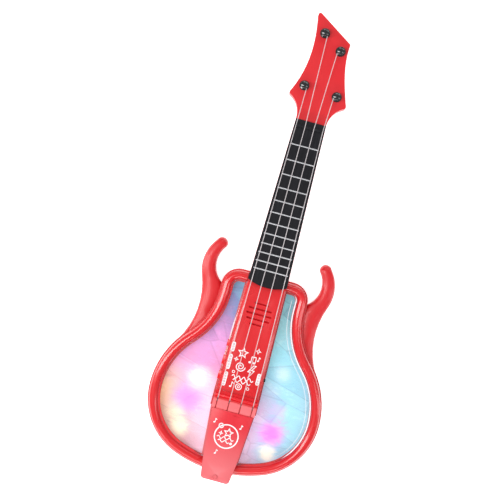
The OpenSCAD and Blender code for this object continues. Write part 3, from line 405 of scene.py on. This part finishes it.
# ---------------------------------------------------------------- smooth shading and edges
def smoothing(angle):
    """Geometry nodes that join the tessellated faces and shade them smooth up to an angle."""
    tree = bpy.data.node_groups.new("smooth_joined", "GeometryNodeTree")
    tree.interface.new_socket("Geometry", in_out="INPUT", socket_type="NodeSocketGeometry")
    tree.interface.new_socket("Geometry", in_out="OUTPUT", socket_type="NodeSocketGeometry")
    start = tree.nodes.new("NodeGroupInput")
    end = tree.nodes.new("NodeGroupOutput")
    merge = add(tree, "GeometryNodeMergeByDistance", inputs={"Distance": JOIN_GAP})
    faces = add(tree, "GeometryNodeSetShadeSmooth", {"domain": "FACE"})
    edges = add(tree, "GeometryNodeSetShadeSmooth", {"domain": "EDGE"},
                {"Shade Smooth": False})
    turn = add(tree, "GeometryNodeInputMeshEdgeAngle")
    sharp = add(tree, "ShaderNodeMath", {"operation": "GREATER_THAN"})
    sharp.inputs[1].default_value = angle
    tree.links.new(turn.outputs["Unsigned Angle"], sharp.inputs[0])
    tree.links.new(start.outputs["Geometry"], merge.inputs["Geometry"])
    tree.links.new(merge.outputs["Geometry"], faces.inputs["Geometry"])
    tree.links.new(faces.outputs["Geometry"], edges.inputs["Geometry"])
    tree.links.new(sharp.outputs["Value"], edges.inputs["Selection"])
    tree.links.new(edges.outputs["Geometry"], end.inputs["Geometry"])
    return tree


SMOOTH = smoothing(SHARP_TURN)
# Moulded edges are rounded a little, in mm
ROUNDED = {"middle_bar": 0.45, "tailpiece": 0.5, "bridge": 0.35, "headstock_front": 0.4,
           "nut": 0.15, "battery_door": 0.3, "switch_knob": 0.25}
ROUNDED.update({f"button_{i}": 0.5 for i in range(1, 4)})
ROUNDED.update({f"peg_post_{i}": 0.2 for i in range(1, 5)})
for name, obj in nodes.items():
    obj.data.materials.clear()
    obj.data.materials.append(MATERIALS[name])
    if "custom_normal" in obj.data.attributes:
        obj.data.attributes.remove(obj.data.attributes["custom_normal"])
    if name in ROUNDED:
        join = obj.modifiers.new("join", "WELD")
        join.merge_threshold = JOIN_GAP
        edge = obj.modifiers.new("edge", "BEVEL")
        edge.width, edge.segments = ROUNDED[name] * MM, 2
        edge.limit_method, edge.angle_limit = "ANGLE", BEVEL_TURN
    obj.modifiers.new("smooth", "NODES").node_group = SMOOTH


# ---------------------------------------------------------------- prints and trims
PRINT_T = 0.14     # mm that a print stands above the moulding
PRINT_SUNK = 0.04  # mm that it reaches into it
OVAL_STEPS = 5     # sections in a round end
WAVE_STEPS = 8     # points in one wave
SPIRAL_STEPS = 14  # points in one turn


def surface(name):
    """A function that gives the height of a CAD node's top at x, y, all in mm."""
    mesh = nodes[name].data
    tree = BVHTree.FromPolygons([v.co for v in mesh.vertices],
                                [list(face.vertices) for face in mesh.polygons])

    def height(x, y):
        hit = tree.ray_cast(Vector((x * MM, y * MM, 1.0)), Vector((0, 0, -1)))[0]
        return hit.z / MM
    return height


def sweep(bm, height, sections, closed=False):
    """A thin solid on a surface through sections, each a row of x, y places in mm."""
    rings = []
    for row in sections:
        top = [bm.verts.new((x * MM, y * MM, (height(x, y) + PRINT_T) * MM)) for x, y in row]
        low = [bm.verts.new((x * MM, y * MM, (height(x, y) - PRINT_SUNK) * MM)) for x, y in row]
        rings.append(top + low[::-1])
    count = len(rings[0])
    for a, b in zip(rings, rings[1:] + rings[:1] if closed else rings[1:]):
        for k in range(count):
            bm.faces.new((a[k], a[(k + 1) % count], b[(k + 1) % count], b[k]))
    if not closed:
        half = count // 2
        for ring in (rings[0], rings[-1]):
            for k in range(half - 1):
                bm.faces.new((ring[k], ring[k + 1], ring[-2 - k], ring[-1 - k]))


def ribbon(points, width, closed=False):
    """Sections of a line of one width, or of a width per point, along points."""
    points = [Vector(p) for p in points]
    count = len(points)
    widths = width if isinstance(width, list) else [width] * count
    rows = []
    for i, p in enumerate(points):
        before = points[i - 1] if i or closed else None
        after = points[(i + 1) % count] if i < count - 1 or closed else None
        ways = [(b - a).normalized() for a, b in ((before, p), (p, after))
                if a is not None and b is not None]
        way = sum(ways, Vector((0, 0))).normalized()
        reach = widths[i] / 2 / max(0.5, way.dot(ways[0]))
        side = Vector((-way.y, way.x)) * reach
        rows.append([tuple(p + side), tuple(p - side)])
    return rows


def oval(x, y, half, tall, straight=0.0, across=5):
    """Sections of a filled oval, or of a pill where its middle runs straight."""
    rows = []
    turns = [math.pi * k / (2 * OVAL_STEPS) for k in range(1, OVAL_STEPS + 1)]
    ends = [(tall * math.cos(a), half * math.sin(a)) for a in turns]
    heights = [(-straight / 2 - v, w) for v, w in ends]
    middle = max(2, int(straight / 2))
    heights += [(-straight / 2 + straight * k / middle, half) for k in range(1, middle + 1)]
    heights += [(straight / 2 + v, w) for v, w in ends[::-1][1:]]
    for v, w in heights:
        rows.append([(x - w + 2 * w * k / across, y + v) for k in range(across + 1)])
    return rows


def circle(x, y, r, steps=28):
    """Corners of a circle; all these shapes take their middle and sizes in mm."""
    turns = [math.tau * k / steps for k in range(steps)]
    return [(x + r * math.cos(a), y + r * math.sin(a)) for a in turns]


def star(x, y, r, tips=5, inner=0.45):
    """Corners of a star that points up."""
    corners = [(math.radians(90 + 180 * k / tips), r if k % 2 == 0 else r * inner)
               for k in range(2 * tips)]
    return [(x + q * math.cos(a), y + q * math.sin(a)) for a, q in corners]


def wave(x, y, length, tall, turns):
    count = turns * WAVE_STEPS
    return [(x + length * (k / count - 0.5), y + tall * math.sin(math.tau * turns * k / count))
            for k in range(count + 1)]


def spiral(x, y, r, turns):
    count = turns * SPIRAL_STEPS
    steps = [(r * (0.12 + 0.88 * k / count), math.tau * turns * k / count)
             for k in range(count + 1)]
    return [(x + q * math.cos(a), y + q * math.sin(a)) for q, a in steps]


def bolt(x, y, half, tall):
    shape = ((0.3, 1), (-0.7, -0.1), (-0.05, -0.1), (-0.35, -1), (0.7, 0.2), (0.05, 0.2),
             (0.85, 1))
    return [(x + half * u, y + tall * v) for u, v in shape]


def add_piece(name, bm, material):
    """A piece on the guitar's own body, from a bmesh that this uses up."""
    bmesh.ops.recalc_face_normals(bm, faces=bm.faces)
    mesh = bpy.data.meshes.new(name)
    bm.to_mesh(mesh)
    bm.free()
    mesh.materials.append(material)
    piece = bpy.data.objects.new(name, mesh)
    scene.collection.objects.link(piece)
    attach(piece, "guitar")


def print_piece(name, material, height, parts):
    """One piece from many swept parts; each part is its sections and whether it closes."""
    bm = bmesh.new()
    for sections, closed in parts:
        sweep(bm, height, sections, closed)
    add_piece(name, bm, material)


def line(points, width=0.8, closed=False):
    """A printed line as a part of a print."""
    return ribbon(points, width, closed), closed


def note(x, y, size=1.0, pair=False, width=0.7):
    """Parts of a music note, or of two notes under one beam."""
    stems = (0, 3.6 * size) if pair else (0,)
    parts = [(oval(x + dx - 0.8 * size, y, 1.1 * size, 0.85 * size, across=3), False)
             for dx in stems]
    parts += [line([(x + dx, y), (x + dx, y + 4.6 * size)], width) for dx in stems]
    flag = (x + 3.6 * size, y + 4.9 * size) if pair else (x + 1.7 * size, y + 3.2 * size)
    parts.append(line([(x - 0.2, y + 4.6 * size), flag], 1.4 * width))
    return parts


bar_top = surface("middle_bar")
tail_top = surface("tailpiece")

# The labels beside the buttons and the power switch: x, y and length in mm
LABELS = ((-17.3, 59.4, 10.6), (-17.3, 43.2, 16.4), (-17.3, 24.6, 15.3), (16.9, 32.4, 12.7))
PILL_HALF = 1.95
MARK_PITCH = 2.8
for i, (x, y, tall) in enumerate(LABELS, 1):
    print_piece(f"label_{i}", PRINT, bar_top,
                [(oval(x, y, PILL_HALF, PILL_HALF, tall - 2 * PILL_HALF), False)])
    marks = int(tall / 3)
    print_piece(f"label_mark_{i}", PRINT_GREY, lambda u, v: bar_top(u, v) + PRINT_T, [
        line(circle(x, y + (k - (marks - 1) / 2) * MARK_PITCH, 0.75, 10), 0.35, True)
        for k in range(marks)])

print_piece("bar_print", PRINT, bar_top, [
    line(star(-5.6, 55.4, 5.2), 1.0, True),
    line(star(9.6, 61.0, 2.6, 4, 0.35), 0.7, True),
    line(star(-11.0, 47.6, 2.2, 4, 0.35), 0.7, True),
    line(spiral(-4.8, 41.0, 5.4, 2), 0.95),
    line(bolt(7.4, 38.4, 4.6, 6.8), 0.9, True),
    line(wave(0.6, 29.4, 23.0, 1.6, 4), 0.9),
    line(wave(0.6, 25.4, 19.0, 1.6, 3), 0.9),
    line(circle(-1.2, 19.8, 3.1, 24), 0.9, True),
    line(circle(-1.2, 19.8, 1.2, 14), 0.7, True),
    line(circle(8.6, 20.0, 1.4, 14), 0.7, True),
    line(circle(-10.4, 34.0, 1.3, 14), 0.7, True),
] + note(4.6, 47.8, 1.3, True, 0.8) + note(-9.0, 18.2, 1.1) + note(12.2, 51.0, 0.9))
print_piece("tail_print", PRINT, tail_top, [
    line(circle(0, -33.9, 12.5, 56), 1.3, True),
    line(circle(-8, -23.9, 2.3, 18), 1.0, True),
    (oval(6.5, -40.3, 1.4, 1.4, across=3), False),
    line(star(1.4, -29.8, 4.8), 1.0, True),
    line(star(-6.4, -31.6, 2.0, 4, 0.35), 0.7, True),
    line(wave(-0.6, -36.0, 18.0, 1.3, 3), 0.9),
    line(wave(-1.6, -39.6, 12.0, 1.2, 2), 0.9),
] + note(-15.4, -22.0, 0.9) + note(12.9, -22.4, 0.9) + note(-6.4, -54.0, 0.9))


BAND_STEP = 2.0     # mm between the places along a band
BAND_LEAST = 0.35   # a band shows where the outline faces its way by more than this share


def window_edge(name):
    """The window's raised outline as places in mm, each with its outward direction."""
    mesh = nodes[name].data
    top = max(v.co.z for v in mesh.vertices)
    key = {v.index: (round(v.co.x / MM, 3), round(v.co.y / MM, 3)) for v in mesh.vertices}
    edges = set()
    for face in mesh.polygons:
        if all(mesh.vertices[i].co.z > top - 0.01 * MM for i in face.vertices):
            ring = [key[i] for i in face.vertices]
            for a, b in zip(ring, ring[1:] + ring[:1]):
                if (b, a) in edges:
                    edges.remove((b, a))
                else:
                    edges.add((a, b))
    after = dict(edges)
    start = min(after)
    loop = [start]
    while after[loop[-1]] != start:
        loop.append(after[loop[-1]])
    loop = [Vector(p) for p in loop]
    dense = []
    for a, b in zip(loop, loop[1:] + loop[:1]):
        steps = max(1, round((b - a).length / BAND_STEP))
        dense += [(a.lerp(b, k / steps), Vector((b.y - a.y, a.x - b.x)).normalized())
                  for k in range(steps)]
    return dense


def edge_band(name, window, material, facing, inset, width, span=(-200, 200)):
    """A band inside a window's outline where the outline faces one way, thinning at its ends.

    The band is "width" wide at most, lies "inset" inside the outline, and keeps to the stretch
    "span" of Y, all in mm.
    """
    loop = window_edge(window)
    way = Vector(facing).normalized()
    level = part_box(window)[1].z / MM
    shares = [max(0.0, (out.dot(way) - BAND_LEAST) / (1 - BAND_LEAST))
              if span[0] < place.y < span[1] else 0.0 for place, out in loop]
    shift = min(range(len(loop)), key=lambda i: shares[i])
    loop, shares = loop[shift:] + loop[:shift], shares[shift:] + shares[:shift]
    runs, run = [], []
    for (place, out), share in zip(loop, shares):
        if share > 0.04:
            run.append((place, out, share))
        elif run:
            runs.append(run)
            run = []
    runs = [run for run in runs + [run] if len(run) > 3]
    parts = []
    for run in runs:
        points, widths = [], []
        for i, (place, out, share) in enumerate(run):
            near = run[max(0, i - 3):i + 4]
            grow = min(1.0, sum(step[2] for step in near) / len(near) * 1.6)
            ends = min(i, len(run) - 1 - i) / 6.0
            widths.append(max(0.12, width * min(grow, ends)))
            points.append(place - out * (inset + widths[-1] / 2))
        parts.append((ribbon(points, widths), False))
    print_piece(name, material, lambda u, v: level, parts)


# Painted reflections: pale bands where the windows' raised edges catch the light
edge_band("right_window_shine", "window_right", PAINTED_GLINT, (1.0, 0.25), 0.0, 1.3)
edge_band("right_window_glint_line", "window_right", PAINTED_GLINT, (1.0, 0.25), 5.0, 0.4)
edge_band("left_window_shine", "window_left", PAINTED_GLINT, (1.0, 0.0), 0.2, 1.3, (60, 96))
# Painted shade: maroon bands inside the rim at the lower left and bottom, where its inner wall lies
# in shade
edge_band("left_window_shade", "window_left", MAROON, (-0.6, -0.8), -0.5, 2.2)
edge_band("right_window_shade", "window_right", MAROON, (-0.2, -1.0), -0.5, 1.8)


SCREEN_RADIUS = 14.8 * MM
SCREEN_GAP = 0.02 * MM            # between the screen and the speaker's cone
SCREEN_DROP = 0.05 * MM           # from the speaker frame's top to the screen's


def grille_screen():
    """Dust screen: a thin plastic disc between the speaker and the bar's slots."""
    low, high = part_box("speaker_frame")
    middle, top = (low + high) / 2, high.z - SCREEN_DROP
    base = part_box("speaker_cone")[1].z + SCREEN_GAP
    bm = bmesh.new()
    bmesh.ops.create_circle(bm, cap_ends=True, segments=48, radius=SCREEN_RADIUS)
    bmesh.ops.translate(bm, verts=bm.verts, vec=(middle.x, middle.y, base))
    made = bmesh.ops.extrude_face_region(bm, geom=bm.faces[:])["geom"]
    bmesh.ops.translate(bm, verts=[g for g in made if isinstance(g, bmesh.types.BMVert)],
                        vec=(0, 0, top - base))
    add_piece("grille_screen", bm, MAROON)


grille_screen()


# ---------------------------------------------------------------- floor, light, camera
# Soft strips round the guitar: place, aim and size in metres, and power in watts
STRIPS = {
    "foot_strip": ((0.0, -0.8, 0.8), (0, 0, 0.03), (1.3, 0.2), 6.0),
    "head_strip": ((0.1, 1.1, 0.75), (0, 0.3, 0.03), (1.3, 0.2), 2.5),
    "left_strip": ((-0.8, 0.1, 1.0), (0, 0.1, 0.03), (0.3, 1.5), 13.0),
    "right_strip": ((0.95, 0.1, 0.62), (0, 0.1, 0.03), (0.2, 1.5), 3.0),
}
FLOOR_HALF = 4.0
CAMERA_PLACE = (-0.0269, 0.1618, 1.044)
CAMERA_TURN = 15.1                # degrees
FRAME_HEIGHT = 0.044              # height of the level where the frame's width holds
FRAME_WIDTH = 0.5256
SENSOR_WIDTH = 36.0               # mm


def area_light(name, place, aim, size, power):
    data = bpy.data.lights.new(name, "AREA")
    data.shape, data.size, data.size_y = "RECTANGLE", size[0], size[1]
    data.energy = power
    light = bpy.data.objects.new(name, data)
    light.location = place
    light.rotation_euler = (Vector(aim) - Vector(place)).to_track_quat("-Z", "Y").to_euler()
    scene.collection.objects.link(light)


def make_floor():
    """Matt white paper that the guitar lies on."""
    mesh = bpy.data.meshes.new("floor")
    corners = ((-1, -1), (1, -1), (1, 1), (-1, 1))
    mesh.from_pydata([(u * FLOOR_HALF, v * FLOOR_HALF, cad_low.z) for u, v in corners],
                     [], [(0, 1, 2, 3)])
    floor = bpy.data.objects.new("floor", mesh)
    scene.collection.objects.link(floor)
    material, tree, shader = new_material("floor_paper")
    tint = noise(tree, object_coords(tree), 3.0)
    tree.links.new(ramp(tree, tint, [(0.3, (0.86, 0.86, 0.86, 1)), (0.7, (0.9, 0.9, 0.9, 1))]),
                   shader.inputs["Base Color"])
    shader.inputs["Roughness"].default_value = 0.9
    shader.inputs["Specular IOR Level"].default_value = 0.1
    shader.inputs["Emission Color"].default_value = (1, 1, 1, 1)
    shader.inputs["Emission Strength"].default_value = 0.8
    mesh.materials.append(material)


def make_world():
    """Even white light from all round."""
    world = bpy.data.worlds.new("studio")
    world.use_nodes = True
    sky = world.node_tree.nodes["Background"].inputs
    sky["Color"].default_value = (1, 1, 1, 1)
    sky["Strength"].default_value = 0.4
    scene.world = world


def make_camera():
    """Straight above the guitar, turned as the photograph's view is."""
    lens = bpy.data.cameras.new("photo_view")
    lens.sensor_width = SENSOR_WIDTH
    lens.lens = SENSOR_WIDTH * (CAMERA_PLACE[2] - FRAME_HEIGHT) / FRAME_WIDTH
    camera = bpy.data.objects.new("photo_view", lens)
    camera.location = CAMERA_PLACE
    camera.rotation_euler = (0, 0, math.radians(CAMERA_TURN))
    scene.collection.objects.link(camera)
    scene.camera = camera


make_floor()
make_world()
for name, look in STRIPS.items():
    area_light(name, *look)
make_camera()
scene.view_settings.view_transform = "Standard"
